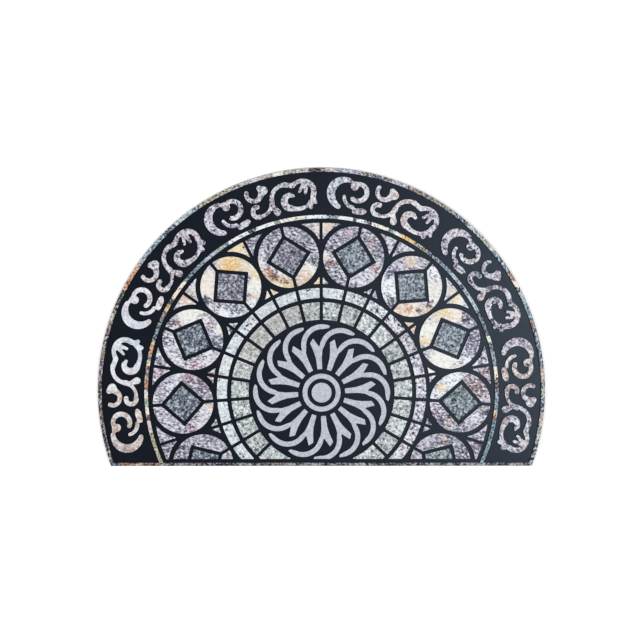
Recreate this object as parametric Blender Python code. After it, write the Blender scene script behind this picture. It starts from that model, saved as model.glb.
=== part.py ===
"""Half-round doormat of moulded rubber, 902 x 600 x 7 mm, built as one solid.

A 4 mm slab carries lands 3 mm high: a rim, a bead, six scrolls, two rings of
blocks, ten medallions with spandrels between them, and a rosette. The channels
between the lands go down to the slab. The pattern turns about the centre of the
arc, so outlines are (x, y) points from there, and angles run anticlockwise
from +X. The mat lies on z = 0 with its straight edge towards -Y, and the origin
is under the middle of its outline's box.
"""

import math
from collections import namedtuple

import bmesh
import bpy
import numpy as np

MM = 0.001

# Slab and edges
WIDTH = 902 * MM
DEPTH = 600 * MM
SLAB = 4 * MM
LAND = 3 * MM
RADIUS = WIDTH / 2
EDGE_Y = RADIUS - DEPTH
CENTRE_Y = DEPTH / 2 - RADIUS
RIM = 7.9 * MM
FRONT_RIM = 6.9 * MM
FIELD_FOOT = EDGE_Y + 14.0 * MM
BEAD = (349.9 * MM, 357.6 * MM)

# Bays of the pattern, counted to each side of the midline, and the channels
MIDLINE = 90.2
BAY = 13.46
CHANNEL = 6.0 * MM

# Medallions, one to two bays, with half the diagonals of the square stone and
# of the window round it
MEDALLION_RING = 280.3 * MM
MEDALLION = 61.4 * MM
SQUARE = 36.8 * MM
SQUARE_WINDOW = 46.2 * MM
MEDALLION_STEPS = range(-9, 10, 2)
SPANDREL_STEPS = range(-8, 9, 2)

# Rosette
BOSS = 20.5 * MM
BOSS_RING = (28.2 * MM, 38.7 * MM)
LEAVES = 16
LEAF_ANGLE = 4.3

# Scroll band
SCROLLS = 6
SCROLL_LINE = 397.5 * MM
SCROLL_START = 197.35
SCROLL_PITCH = 36.3

# How far facets may stray from arcs and from scrolls, the pitch of the grid on
# which scrolls are outlined, and how deep a land starts inside the slab
FACET = 0.6 * MM
SCROLL_FACET = 0.8 * MM
GRID = 1.2 * MM
SUNK = 1 * MM

FIELD_LANDS = ("blocks", "medallions", "spandrels", "rosette")
RUBBER = (0.018, 0.021, 0.027, 1.0)

# A ring of blocks has a channel at each bay as far as this many bays to each
# side of the midline. Beyond the last one a single block runs to the foot.
Ring = namedtuple("Ring", "inner outer bays")
BLOCK_RINGS = (
    Ring(inner=146.9 * MM, outer=182.9 * MM, bays=10),
    Ring(inner=190.5 * MM, outer=211.4 * MM, bays=9),
)

# A spandrel fills the corner between two medallions and a ring of this radius,
# outside a collar about the medallion's centre.
Corner = namedtuple("Corner", "ring collar outward")
CORNERS = (
    Corner(ring=341.6 * MM, collar=70.7 * MM, outward=1),
    Corner(ring=219.0 * MM, collar=72.8 * MM, outward=-1),
)

# A leaf's outline in mm, with +Y along its stem: the stem's right side, the inner
# edge and the end of the long arm, the arm's outer edge, the barb, the left side.
Sweep = namedtuple("Sweep", "x y radius start end")
LEAF = (
    (5.2, 47.0),
    (6.2, 72.0),
    (8.6, 86.0),
    Sweep(44.5, 85.0, 32.2, 160, 61),
    (71.5, 109.5),
    Sweep(44.0, 86.0, 42.0, 39, 168),
    (1.6, 94.0),
    (-8.7, 111.0),
    (-16.2, 101.5),
    (-10.0, 84.0),
    (-6.6, 70.0),
    (-5.2, 47.0),
)

# Scroll strokes in mm: u runs clockwise along the band and v outward. A bow is
# an arc between two angles and a drop is straight, and each has a half width at
# its start, middle and end. Strokes of a piece run together with this fillet.
FILLET = 3.0
Bow = namedtuple("Bow", "u v radius start end wide")
Drop = namedtuple("Drop", "u v to_u to_v wide")
SCROLL = {
    "c_scroll": (
        Bow(36.5, 4.0, 28.6, 246, 84, (5.0, 8.6, 4.6)),
        Drop(41.0, 32.0, 50.0, 27.0, (4.0, 3.0, 4.0)),
        Drop(49.5, 28.5, 52.6, 21.0, (4.0, 6.4, 7.8)),
        Bow(61.0, 11.0, 17.0, 118, -122, (4.2, 5.2, 4.8)),
    ),
    "hook": (
        Bow(55.5, 0.5, 20.8, 184, 268, (3.6, 4.2, 4.2)),
        Drop(58.0, -28.6, 67.0, -26.8, (3.2, 4.4, 5.2)),
        Drop(61.5, -26.4, 76.0, -25.0, (5.4, 6.2, 6.0)),
        Drop(75.0, -25.0, 81.5, -23.8, (6.0, 5.2, 4.4)),
    ),
    "crescent": (
        Bow(110.5, 23.5, 14.2, 152, 322, (4.2, 4.6, 5.4)),
        Drop(123.0, 18.0, 129.0, 24.4, (5.4, 6.8, 8.4)),
        Drop(129.0, 24.4, 123.6, 31.4, (8.4, 7.0, 5.4)),
    ),
    "acanthus": (
        Bow(107.0, -13.5, 10.4, 80, 262, (5.0, 5.2, 4.6)),
        Bow(114.0, 3.0, 26.6, 256, 350, (4.4, 3.8, 5.4)),
        Drop(139.0, -9.0, 146.5, -24.8, (3.6, 5.4, 7.6)),
        Bow(169.0, -2.0, 28.3, 184, 86, (4.6, 4.4, 4.6)),
        Drop(170.0, 26.0, 184.0, 22.4, (4.6, 5.2, 4.8)),
        Drop(184.0, 22.4, 191.0, 26.0, (4.0, 3.6, 3.6)),
        Bow(203.5, 7.0, 22.4, 138, -22, (4.2, 5.0, 5.8)),
        Drop(209.0, 25.0, 197.4, 8.6, (4.6, 3.8, 3.0)),
        Drop(212.5, 24.0, 209.0, 4.4, (4.8, 4.0, 3.2)),
        Drop(223.5, -8.0, 229.0, -14.4, (5.4, 4.8, 4.2)),
        Drop(218.5, -14.0, 218.0, -23.6, (5.0, 5.0, 4.8)),
        Bow(193.0, 13.0, 38.4, 322, 246, (5.0, 4.2, 5.6)),
        Bow(178.0, -9.0, 13.4, 262, 92, (5.8, 7.4, 4.6)),
        Drop(178.0, 4.0, 184.0, 1.2, (4.4, 4.0, 3.8)),
    ),
}


# ---------------------------------------------------------------- outlines


def polar(radius, degrees):
    angle = math.radians(degrees)
    return radius * math.cos(angle), radius * math.sin(angle)


def arc(centre, radius, start, end, facet=FACET):
    """Points along an arc, both ends included, no further than facet from it."""
    step = 2 * math.degrees(math.acos(1 - facet / radius))
    count = max(1, math.ceil(abs(end - start) / step))
    points = []
    for index in range(count + 1):
        x, y = polar(radius, start + (end - start) * index / count)
        points.append((centre[0] + x, centre[1] + y))
    return points


def turned(points, degrees):
    """The points, drawn with +Y outward, at this angle of the pattern."""
    angle = math.radians(degrees - 90)
    cos, sin = math.cos(angle), math.sin(angle)
    return [(x * cos - y * sin, x * sin + y * cos) for x, y in points]


def circle(radius):
    return arc((0, 0), radius, 0, 360)[:-1]


def half_round(radius, edge_y):
    """The mat's outline: an arc closed by a straight edge, with points at its widest."""
    dip = math.degrees(math.asin(edge_y / radius))
    corners = (dip, 0, 90, 180, 180 - dip)
    outline = [polar(radius, dip)]
    for start, end in zip(corners, corners[1:]):
        outline += arc((0, 0), radius, start, end)[1:]
    return outline


def band(inner, outer, foot_y):
    """A ring cut off below foot_y."""
    dips = [math.degrees(math.asin(foot_y / radius)) for radius in (inner, outer)]
    outside = arc((0, 0), outer, dips[1], 180 - dips[1])
    return outside + arc((0, 0), inner, 180 - dips[0], dips[0])


def block(ring, start, end):
    """A stone of a ring, with a channel of even width at each side."""
    side_in = math.degrees(math.asin(CHANNEL / 2 / ring.inner))
    side_out = math.degrees(math.asin(CHANNEL / 2 / ring.outer))
    outside = arc((0, 0), ring.outer, start + side_out, end - side_out)
    return outside + arc((0, 0), ring.inner, end - side_in, start + side_in)


def medallion_half(side):
    """Half of a medallion's round stone, about its centre, with +Y outward."""
    gap = CHANNEL / 2
    lean = math.degrees(math.asin(gap / MEDALLION))
    rim = arc((0, 0), MEDALLION, 90 - lean, lean - 90)
    notch = SQUARE_WINDOW - gap
    points = rim + [(gap, -notch), (SQUARE_WINDOW, 0), (gap, notch)]
    return [(side * x, y) for x, y in points]


def square():
    return [(SQUARE, 0), (0, SQUARE), (-SQUARE, 0), (0, -SQUARE)]


def lifted(points, radius):
    return [(x, y + radius) for x, y in points]


def spandrel(corner, side):
    """A three-sided stone beside a channel on the pattern's +Y line."""
    gap = CHANNEL / 2
    middle_x, middle_y = polar(MEDALLION_RING, 90 - BAY)
    # The collar starts on the channel's side and ends on the ring.
    rise = corner.outward * math.sqrt(corner.collar**2 - (middle_x - gap) ** 2)
    start = math.degrees(math.atan2(rise, gap - middle_x))
    reach = corner.ring**2 + MEDALLION_RING**2 - corner.collar**2
    spread = math.degrees(math.acos(reach / (2 * corner.ring * MEDALLION_RING)))
    ring_start = 90 - BAY + spread
    far_x, far_y = polar(corner.ring, ring_start)
    end = math.degrees(math.atan2(far_y - middle_y, far_x - middle_x))
    ring_end = 90 - math.degrees(math.asin(gap / corner.ring))
    outline = arc((middle_x, middle_y), corner.collar, start, end)
    outline += arc((0, 0), corner.ring, ring_start, ring_end)[1:]
    return [(side * x, y) for x, y in outline]


def leaf():
    """One leaf of the rosette, with +Y along its stem."""
    outline = []
    for piece in LEAF:
        if isinstance(piece, Sweep):
            centre = (piece.x, piece.y)
            outline += arc(centre, piece.radius, piece.start, piece.end, FACET / MM)
        else:
            outline.append(piece)
    return [(x * MM, y * MM) for x, y in outline]


# ---------------------------------------------------------------- scrolls


def stroke_discs(stroke):
    """Rows of u, v and half width close together along a stroke."""
    if isinstance(stroke, Bow):
        length = stroke.radius * math.radians(abs(stroke.end - stroke.start))
    else:
        length = math.hypot(stroke.to_u - stroke.u, stroke.to_v - stroke.v)
    t = np.linspace(0, 1, max(4, int(length)))
    start, middle, end = stroke.wide
    wide = start * (1 - t) * (1 - 2 * t) + 4 * middle * t * (1 - t) + end * t * (2 * t - 1)
    if isinstance(stroke, Drop):
        u = stroke.u + (stroke.to_u - stroke.u) * t
        v = stroke.v + (stroke.to_v - stroke.v) * t
    else:
        angle = np.radians(stroke.start + (stroke.end - stroke.start) * t)
        u = stroke.u + stroke.radius * np.cos(angle)
        v = stroke.v + stroke.radius * np.sin(angle)
    return np.column_stack((u, v, wide))


def distance_field(strokes, u, v):
    """Distance from each grid point to the strokes, with their corners filled."""
    field = None
    for stroke in strokes:
        reach = np.full(u.shape, 1e3)
        for disc_u, disc_v, wide in stroke_discs(stroke):
            reach = np.minimum(reach, np.hypot(u - disc_u, v - disc_v) - wide)
        if field is None:
            field = reach
            continue
        near = np.maximum(FILLET - np.abs(field - reach), 0) / FILLET
        field = np.minimum(field, reach) - near * near * FILLET / 4
    return field


def edge_point(field, us, vs, edge):
    (i, j), (k, m) = edge
    share = field[i, j] / (field[i, j] - field[k, m])
    return us[i] + (us[k] - us[i]) * share, vs[j] + (vs[m] - vs[j]) * share


def outline_of(field, us, vs):
    """The loop along which the field is nought, by marching squares."""
    follow = {}
    for i in range(len(us) - 1):
        for j in range(len(vs) - 1):
            corners = ((i, j), (i + 1, j), (i + 1, j + 1), (i, j + 1))
            inside = [field[corner] < 0 for corner in corners]
            leave, enter = [], []
            for k in range(4):
                if inside[k] != inside[k - 1]:
                    edge = tuple(sorted((corners[k - 1], corners[k])))
                    (leave if inside[k - 1] else enter).append(edge)
            follow.update(zip(leave, enter))
    first = min(follow)
    edge, loop = follow[first], [first]
    while edge != first:
        loop.append(edge)
        edge = follow[edge]
    return [edge_point(field, us, vs, edge) for edge in loop]


def thinned(points, slack):
    """An open run of points, without those that lie within slack of a chord."""
    if len(points) < 3:
        return points
    run = np.array(points)
    chord = run[-1] - run[0]
    off = run - run[0]
    reach = np.abs(chord[0] * off[:, 1] - chord[1] * off[:, 0]) / np.hypot(*chord)
    far = int(np.argmax(reach))
    if reach[far] < slack:
        return [points[0], points[-1]]
    return thinned(points[: far + 1], slack)[:-1] + thinned(points[far:], slack)


def scroll_outline(strokes):
    """Outline of one piece of the scroll, in mm along and across the band."""
    discs = np.concatenate([stroke_discs(stroke) for stroke in strokes])
    margin, step = 3.0, GRID / MM
    low = (discs[:, :2] - discs[:, 2:]).min(axis=0) - margin
    high = (discs[:, :2] + discs[:, 2:]).max(axis=0) + margin
    us = np.arange(low[0], high[0] + step, step)
    vs = np.arange(low[1], high[1] + step, step)
    loop = outline_of(distance_field(strokes, *np.meshgrid(us, vs, indexing="ij")), us, vs)
    half = int(np.argmax([math.dist(loop[0], point) for point in loop]))
    slack = SCROLL_FACET / MM
    there = thinned(loop[: half + 1], slack)
    back = thinned(loop[half:] + loop[:1], slack)
    return there[:-1] + back[:-1]


def bent(points, start):
    """The scroll's points laid clockwise along the band from an angle."""
    laid = []
    for u, v in points:
        laid.append(polar(SCROLL_LINE + v * MM, start - math.degrees(u * MM / SCROLL_LINE)))
    return laid


# ------------------------------------------------------------ groups of lands


def block_outlines():
    outlines = []
    for ring in BLOCK_RINGS:
        for step in range(-ring.bays, ring.bays):
            start = MIDLINE + step * BAY
            outlines.append(block(ring, start, start + BAY))
        last = MIDLINE + ring.bays * BAY
        first = MIDLINE - ring.bays * BAY
        outlines.append(block(ring, last, last + 2 * BAY))
        outlines.append(block(ring, first - 2 * BAY, first))
    return outlines


def medallion_outlines():
    outlines = []
    for step in MEDALLION_STEPS:
        for shape in (medallion_half(1), medallion_half(-1), square()):
            outlines.append(turned(lifted(shape, MEDALLION_RING), MIDLINE + step * BAY))
    return outlines


def spandrel_outlines():
    outlines = []
    for step in SPANDREL_STEPS:
        for corner in CORNERS:
            for side in (1, -1):
                outlines.append(turned(spandrel(corner, side), MIDLINE + step * BAY))
    return outlines


def rosette_outlines():
    turn = 360 / LEAVES
    leaves = [turned(leaf(), LEAF_ANGLE + index * turn) for index in range(LEAVES)]
    return leaves + [circle(radius) for radius in (*BOSS_RING, BOSS)]


def scroll_outlines():
    pieces = [scroll_outline(strokes) for strokes in SCROLL.values()]
    outlines = []
    for index in range(SCROLLS):
        start = SCROLL_START - index * SCROLL_PITCH
        outlines += [bent(piece, start) for piece in pieces]
    return outlines


# ----------------------------------------------------------------- solids


def clear_scene():
    for thing in list(bpy.data.objects):
        bpy.data.objects.remove(thing, do_unlink=True)


def new_collection(name):
    collection = bpy.data.collections.new(name)
    bpy.context.scene.collection.children.link(collection)
    return collection


def prisms(name, collection, outlines, bottom, top):
    """One mesh of upright prisms on closed outlines; one inside another is a hole."""
    flat = bpy.data.curves.new(name, "CURVE")
    flat.dimensions = "2D"
    flat.fill_mode = "BOTH"
    flat.extrude = (top - bottom) / 2
    for outline in outlines:
        spline = flat.splines.new("POLY")
        spline.points.add(len(outline) - 1)
        spline.use_cyclic_u = True
        for point, (x, y) in zip(spline.points, outline):
            point.co = (x, y + CENTRE_Y, 0, 1)
    drawn = bpy.data.objects.new(name + "_outline", flat)
    drawn.location.z = (top + bottom) / 2
    collection.objects.link(drawn)
    bpy.context.view_layer.update()
    graph = bpy.context.evaluated_depsgraph_get()
    mesh = bpy.data.meshes.new_from_object(drawn.evaluated_get(graph))
    mesh.transform(drawn.matrix_world)
    bpy.data.objects.remove(drawn, do_unlink=True)
    shell = bmesh.new()
    shell.from_mesh(mesh)
    bmesh.ops.remove_doubles(shell, verts=shell.verts, dist=1e-6)
    bmesh.ops.dissolve_limit(
        shell, angle_limit=math.radians(1), verts=[], edges=shell.edges
    )
    bmesh.ops.recalc_face_normals(shell, faces=shell.faces)
    shell.to_mesh(mesh)
    shell.free()
    made = bpy.data.objects.new(name, mesh)
    collection.objects.link(made)
    return made


def combine(target, other, operation):
    modifier = target.modifiers.new(operation.lower() + "_" + other.name, "BOOLEAN")
    modifier.operation = operation
    modifier.solver = "EXACT"
    modifier.object = other


def as_helper(thing):
    thing.hide_render = True
    thing.display_type = "WIRE"


def rubber():
    material = bpy.data.materials.new("rubber")
    material.use_nodes = True
    shader = material.node_tree.nodes["Principled BSDF"]
    shader.inputs["Base Color"].default_value = RUBBER
    shader.inputs["Roughness"].default_value = 0.6
    shader.inputs["Metallic"].default_value = 0.0
    material.diffuse_color = RUBBER
    return material


def build():
    clear_scene()
    parts = new_collection("doormat")
    helpers = new_collection("helpers")
    land_foot, land_top = SLAB - SUNK, SLAB + LAND
    mat = prisms("mat", parts, [half_round(RADIUS, EDGE_Y)], 0, SLAB)
    edges = [half_round(RADIUS, EDGE_Y), half_round(RADIUS - RIM, EDGE_Y + FRONT_RIM)]
    lands = [
        prisms("rim", helpers, edges, land_foot, land_top),
        prisms("bead", helpers, [band(*BEAD, EDGE_Y + FRONT_RIM / 2)], land_foot, land_top),
        prisms("scrolls", helpers, scroll_outlines(), land_foot, land_top),
        prisms("blocks", helpers, block_outlines(), land_foot, land_top),
        prisms("medallions", helpers, medallion_outlines(), land_foot, land_top),
        prisms("spandrels", helpers, spandrel_outlines(), land_foot, land_top),
        prisms("rosette", helpers, rosette_outlines(), land_foot, land_top),
    ]
    field = [(-RADIUS, FIELD_FOOT), (RADIUS, FIELD_FOOT), (RADIUS, RADIUS), (-RADIUS, RADIUS)]
    above_foot = prisms("above_foot", helpers, [field], 0, 2 * land_top)
    as_helper(above_foot)
    for land in lands:
        as_helper(land)
        if land.name in FIELD_LANDS:
            combine(land, above_foot, "INTERSECT")
        combine(mat, land, "UNION")
    mat.data.materials.append(rubber())


build()
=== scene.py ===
"""Half-round doormat of moulded rubber with flocked, printed lands.

Run in Blender as a script, it builds the mat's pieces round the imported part, lays
them on a pale floor under studio light, and says which body each one rides on.
Everything is in metres in the part's own frame: the mat lies on z = 0 with its
straight edge towards -Y. The pattern turns about the centre of the arc, and its
angles run anticlockwise from +X.
"""

import math
from collections import namedtuple

import bmesh
import bpy
import numpy as np
from mathutils import Matrix, Vector


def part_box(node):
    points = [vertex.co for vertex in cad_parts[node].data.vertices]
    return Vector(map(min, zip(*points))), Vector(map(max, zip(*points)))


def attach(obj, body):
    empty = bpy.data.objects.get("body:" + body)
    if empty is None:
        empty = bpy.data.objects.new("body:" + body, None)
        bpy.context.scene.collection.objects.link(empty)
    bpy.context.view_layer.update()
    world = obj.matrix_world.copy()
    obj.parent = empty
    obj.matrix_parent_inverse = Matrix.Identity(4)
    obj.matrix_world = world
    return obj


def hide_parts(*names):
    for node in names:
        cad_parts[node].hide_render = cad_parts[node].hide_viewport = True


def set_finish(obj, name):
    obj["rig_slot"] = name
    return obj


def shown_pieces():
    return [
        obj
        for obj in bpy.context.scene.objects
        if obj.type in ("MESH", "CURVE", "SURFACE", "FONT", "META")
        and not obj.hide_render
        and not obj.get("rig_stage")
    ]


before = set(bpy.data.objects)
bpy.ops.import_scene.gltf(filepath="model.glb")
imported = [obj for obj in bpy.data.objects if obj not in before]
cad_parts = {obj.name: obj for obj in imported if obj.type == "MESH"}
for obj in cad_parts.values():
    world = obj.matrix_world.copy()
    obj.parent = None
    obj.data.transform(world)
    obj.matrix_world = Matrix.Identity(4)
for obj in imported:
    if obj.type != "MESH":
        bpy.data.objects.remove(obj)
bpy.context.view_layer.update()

bl_info = {
    "name": "Half-Round Doormat",
    "version": (1, 0, 0),
    "blender": (4, 5, 0),
    "location": "View3D > Sidebar > Doormat",
    "description": "Builds a half-round rubber doormat with printed, flocked lands",
    "category": "Mesh",
}

MM = 0.001

# The outline, from the part's box
LOW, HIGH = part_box("mat")
RADIUS = (HIGH.x - LOW.x) / 2
CENTRE = Vector(((LOW.x + HIGH.x) / 2, HIGH.y - RADIUS, 0))
EDGE_Y = LOW.y - CENTRE.y
TOP = HIGH.z
SLAB = TOP - 3 * MM
FOOT = SLAB - 1 * MM
HAIR = 0.15 * MM
LEAST_STONE = 1.0 * MM
SLAB_ROUNDING = 0.4 * MM

# Bays of the pattern, counted to each side of the midline
MIDLINE = 90.2
BAY = 13.46
FIELD_FOOT = EDGE_Y + 14.0 * MM
BEAD_INNER = 349.9 * MM
MEDALLION_RING = 280.3 * MM
MEDALLION_STEPS = range(-9, 10, 2)
SPANDREL_STEPS = range(-8, 9, 2)

# A ring of blocks has a channel at each bay as far as this many bays to each
# side of the midline. Beyond the last one a single block runs to the foot.
Ring = namedtuple("Ring", "name inner outer bays")
INNER_BLOCKS = Ring("blocks_inner", 146.9 * MM, 182.9 * MM, 10)
OUTER_BLOCKS = Ring("blocks_outer", 190.5 * MM, 211.4 * MM, 9)

# A spandrel fills the corner between two medallions and a ring of this radius,
# outside a collar about the medallion's centre.
Corner = namedtuple("Corner", "ring collar outward")
CORNERS = (
    Corner(ring=341.6 * MM, collar=70.7 * MM, outward=1),
    Corner(ring=219.0 * MM, collar=72.8 * MM, outward=-1),
)

# Rosette
BOSS_RING = (28.2 * MM, 38.7 * MM)
LEAVES = 16
LEAF_ANGLE = 4.3

# Scroll band
SCROLLS = 6
SCROLL_LINE = 397.5 * MM
SCROLL_START = 197.35
SCROLL_PITCH = 36.3

# The camera, which looks almost straight down: its place, its turn in degrees and
# its lens in mm
CAMERA_PLACE = (-0.0093, 0.0836, 2.0154)
CAMERA_TURN = (-2.507, -0.174, -0.007)
CAMERA_LENS = 56.25

# How fine the curves are: steps round the whole circle of the outline, the longest
# facet of an arc and its greatest turn, the least turn that counts as a corner and a
# facet's turn in a rounded one, and, in mm, the pitch of the grid on which scrolls are
# outlined and the slack that is left in them
OUTLINE_STEPS = 720
FACET = 3.0 * MM
FACET_TURN = 6.0
CORNER_TURN = math.radians(20)
FILLET_TURN = math.radians(18)
GRID = 0.9
SLACK = 0.05

# A leaf's outline in mm, with +Y along its stem: the stem's right side, the inner
# edge and the end of the long arm, the arm's outer edge, the barb, the left side.
Sweep = namedtuple("Sweep", "x y radius start end")
LEAF = (
    (5.2, 47.0),
    (6.2, 72.0),
    (8.6, 86.0),
    Sweep(44.5, 85.0, 32.2, 160, 61),
    (71.5, 109.5),
    Sweep(44.0, 86.0, 42.0, 39, 168),
    (1.6, 94.0),
    (-8.7, 111.0),
    (-16.2, 101.5),
    (-10.0, 84.0),
    (-6.6, 70.0),
    (-5.2, 47.0),
)

# Scroll strokes in mm: u runs clockwise along the band and v outward. A bow is
# an arc between two angles and a drop is straight, and each has a half width at
# its start, middle and end. Strokes of a piece run together with this fillet.
FILLET = 3.0
Bow = namedtuple("Bow", "u v radius start end wide")
Drop = namedtuple("Drop", "u v to_u to_v wide")
SCROLL = {
    "c_scroll": (
        Bow(36.5, 4.0, 28.6, 246, 84, (5.0, 8.6, 4.6)),
        Drop(41.0, 32.0, 50.0, 27.0, (4.0, 3.0, 4.0)),
        Drop(49.5, 28.5, 52.6, 21.0, (4.0, 6.4, 7.8)),
        Bow(61.0, 11.0, 17.0, 118, -122, (4.2, 5.2, 4.8)),
    ),
    "hook": (
        Bow(55.5, 0.5, 20.8, 184, 268, (3.6, 4.2, 4.2)),
        Drop(58.0, -28.6, 67.0, -26.8, (3.2, 4.4, 5.2)),
        Drop(61.5, -26.4, 76.0, -25.0, (5.4, 6.2, 6.0)),
        Drop(75.0, -25.0, 81.5, -23.8, (6.0, 5.2, 4.4)),
    ),
    "crescent": (
        Bow(110.5, 23.5, 14.2, 152, 322, (4.2, 4.6, 5.4)),
        Drop(123.0, 18.0, 129.0, 24.4, (5.4, 6.8, 8.4)),
        Drop(129.0, 24.4, 123.6, 31.4, (8.4, 7.0, 5.4)),
    ),
    "acanthus": (
        Bow(107.0, -13.5, 10.4, 80, 262, (5.0, 5.2, 4.6)),
        Bow(114.0, 3.0, 26.6, 256, 350, (4.4, 3.8, 5.4)),
        Drop(139.0, -9.0, 146.5, -24.8, (3.6, 5.4, 7.6)),
        Bow(169.0, -2.0, 28.3, 184, 86, (4.6, 4.4, 4.6)),
        Drop(170.0, 26.0, 184.0, 22.4, (4.6, 5.2, 4.8)),
        Drop(184.0, 22.4, 191.0, 26.0, (4.0, 3.6, 3.6)),
        Bow(203.5, 7.0, 22.4, 138, -22, (4.2, 5.0, 5.8)),
        Drop(209.0, 25.0, 197.4, 8.6, (4.6, 3.8, 3.0)),
        Drop(212.5, 24.0, 209.0, 4.4, (4.8, 4.0, 3.2)),
        Drop(223.5, -8.0, 229.0, -14.4, (5.4, 4.8, 4.2)),
        Drop(218.5, -14.0, 218.0, -23.6, (5.0, 5.0, 4.8)),
        Bow(193.0, 13.0, 38.4, 322, 246, (5.0, 4.2, 5.6)),
        Bow(178.0, -9.0, 13.4, 262, 92, (5.8, 7.4, 4.6)),
        Drop(178.0, 4.0, 184.0, 1.2, (4.4, 4.0, 3.8)),
    ),
}


def paint(red, green, blue):
    """A colour named by its three display values from 0 to 255."""
    linear = []
    for value in (red, green, blue):
        share = value / 255
        linear.append(share / 12.92 if share < 0.04045 else ((share + 0.055) / 1.055) ** 2.4)
    return tuple(linear)


# Tints of the print that are used here and there, by name
TINTS = {
    "white": paint(244, 249, 254),
    "ivory": paint(246, 245, 234),
    "cream": paint(244, 232, 214),
    "pearl": paint(214, 213, 224),
    "shell": paint(214, 204, 200),
    "fawn": paint(186, 170, 158),
    "ash": paint(174, 173, 184),
    "lilac": paint(184, 181, 199),
    "heather": paint(144, 141, 158),
    "pink": paint(186, 154, 168),
    "rose": paint(176, 132, 130),
    "mauve": paint(138, 122, 144),
    "rosewood": paint(146, 118, 122),
    "peach": paint(228, 198, 172),
    "ochre": paint(234, 190, 120),
    "yellow": paint(240, 218, 168),
    "orange": paint(204, 146, 104),
    "rust": paint(150, 94, 72),
    "plum": paint(78, 72, 96),
    "iris": paint(104, 98, 132),
    "brown": paint(104, 84, 74),
    "umber": paint(70, 58, 54),
    "taupe": paint(132, 122, 112),
    "khaki": paint(170, 162, 132),
    "sage": paint(168, 176, 166),
    "slate": paint(84, 96, 112),
    "steel": paint(126, 148, 166),
    "mist": paint(178, 194, 204),
    "teal": paint(112, 144, 154),
    "ink": paint(26, 28, 38),
}

# How many degrees from the top of the arc the charts below reach on each side
EDGING_REACH = 120
SCROLL_REACH = 112

# Where the print of the rim and of the bead changes, in degrees clockwise from
# the top of the arc, and what it changes to
RIM_TINTS = (
    (-120, "brown"), (-104, "umber"), (-100, "brown"), (-95, "umber"), (-93, "taupe"),
    (-91, "umber"), (-87, "rosewood"), (-83.7, "slate"), (-82, "rust"), (-80.8, "taupe"),
    (-78, "umber"), (-75, "rosewood"), (-72, "khaki"), (-69.3, "umber"), (-62.4, "orange"),
    (-60.8, "rust"), (-59.9, "orange"), (-55.2, "ash"), (-53, "steel"), (-45, "slate"),
    (-41.3, "mist"), (-35.7, "steel"), (-33, "khaki"), (-24.5, "sage"), (-19, "pearl"),
    (-16, "fawn"), (-13, "ivory"), (-10, "sage"), (-6.5, "shell"), (-3.3, "umber"), (0, "taupe"),
    (1.3, "shell"), (4, "teal"), (5, "lilac"), (10, "taupe"), (12, "slate"), (16, "taupe"),
    (17.5, "lilac"), (22.4, "taupe"), (35.6, "slate"), (41, "mist"), (43, "sage"), (49, "shell"),
    (50.6, "steel"), (56.3, "rosewood"), (58, "rust"), (59.5, "cream"), (61.2, "umber"),
    (62.5, "mist"), (65.8, "teal"), (70.8, "rust"), (73, "slate"), (83, "fawn"), (87, "slate"),
    (88.3, "sage"), (91.4, "slate"), (94.8, "fawn"), (98.4, "sage"), (103, "plum"),
)
BEAD_TINTS = (
    (-120, "khaki"), (-103.2, "shell"), (-99.5, "brown"), (-97.8, "cream"), (-95.4, "sage"),
    (-91.8, "cream"), (-89.8, "plum"), (-88.5, "orange"), (-86, "fawn"), (-84.6, "brown"),
    (-81.6, "yellow"), (-80, "teal"), (-78, "orange"), (-74.2, "yellow"), (-73.2, "slate"),
    (-65.5, "rosewood"), (-62.5, "ochre"), (-60, "umber"), (-58, "cream"), (-51, "slate"),
    (-46, "steel"), (-41.3, "mist"), (-36.6, "sage"), (-33.8, "teal"), (-31.8, "white"),
    (-24.6, "ink"), (-22.4, "white"), (-15.6, "sage"), (-13.8, "ivory"), (-5, "white"),
    (0, "white"), (1.7, "slate"), (2.5, "steel"), (5.3, "white"), (9.8, "slate"), (11.5, "white"),
    (13.8, "ash"), (14.9, "ink"), (16.2, "ivory"), (21.9, "teal"), (24.1, "ivory"), (26.4, "ochre"),
    (31.4, "sage"), (34, "khaki"), (36.4, "slate"), (40.5, "steel"), (47.4, "mist"),
    (51.3, "slate"), (53.2, "mist"), (62, "slate"), (71, "ivory"), (73, "slate"), (76.2, "ash"),
    (79.9, "teal"), (81.8, "cream"), (85.3, "brown"), (88.3, "steel"), (95.7, "peach"),
    (97.2, "rust"), (98.9, "teal"),
)

# The same for the rim along the straight edge, in mm to the right of the middle,
# how far above that edge this print starts and ends its fade, and its tone
FRONT_FADE = (7.9 * MM, 7.1 * MM)
FRONT_TONE = 0.53
FRONT_TINTS = (
    (-450, "slate"), (-408, "orange"), (-384, "rust"), (-374, "peach"), (-360, "rust"),
    (-336, "khaki"), (-318, "umber"), (-294, "lilac"), (-270, "rosewood"), (-248, "plum"),
    (-232, "lilac"), (-222, "plum"), (-174, "ash"), (-146, "slate"), (-128, "rust"),
    (-116, "slate"), (-104, "fawn"), (-52, "plum"), (-40, "lilac"), (20, "plum"), (34, "heather"),
    (70, "pearl"), (88, "plum"), (112, "slate"), (176, "rose"), (192, "slate"), (214, "mist"),
    (236, "slate"), (256, "pearl"), (266, "slate"), (280, "lilac"), (320, "mist"), (336, "slate"),
    (382, "shell"), (398, "rosewood"), (418, "ash"),
)

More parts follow.
